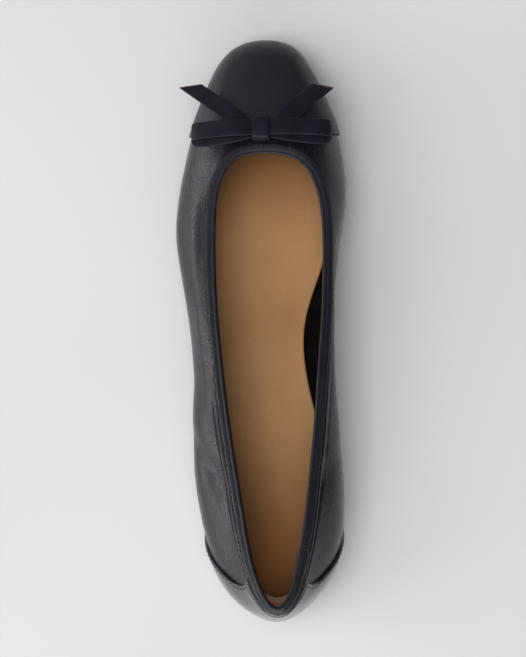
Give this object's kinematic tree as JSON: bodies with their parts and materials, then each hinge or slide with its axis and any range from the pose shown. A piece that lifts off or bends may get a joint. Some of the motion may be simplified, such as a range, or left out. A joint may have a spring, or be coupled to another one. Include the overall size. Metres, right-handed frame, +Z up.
{
  "type": "ballet flat",
  "caption": "Low ballet flat for the left foot, with a toe cap, a counter, a bound collar and a flat ribbon bow.",
  "frame": {"origin": "on the floor, under the middle of the shoe's box", "axes": "+Y to the toe along the shoe, +X to the inner side of the foot, +Z up"},
  "size_m": [0.0738, 0.2496, 0.057],
  "materials": {
    "upper_leather": "fine grained, satin",
    "cap_leather": "smooth, satin",
    "collar_elastic": "soft leather strip over elastic, lightly gathered",
    "bow_ribbon": "fine ribbed, matt",
    "sock_leather": "tan, matt",
    "sole_rubber": "matt",
    "heel_block": "satin"
  },
  "bodies": {
    "root": {"upper": "upper_leather", "outsole": "sole_rubber", "insole": "sock_leather", "heel": "heel_block", "heel_lift": "sole_rubber", "toe_cap": "cap_leather", "counter": "upper_leather", "binding": "collar_elastic", "bow_knot": "bow_ribbon", "bow_loop_lateral": "bow_ribbon", "bow_loop_medial": "bow_ribbon", "bow_tail_lateral": "bow_ribbon", "bow_tail_medial": "bow_ribbon"}
  },
  "joints": []
}
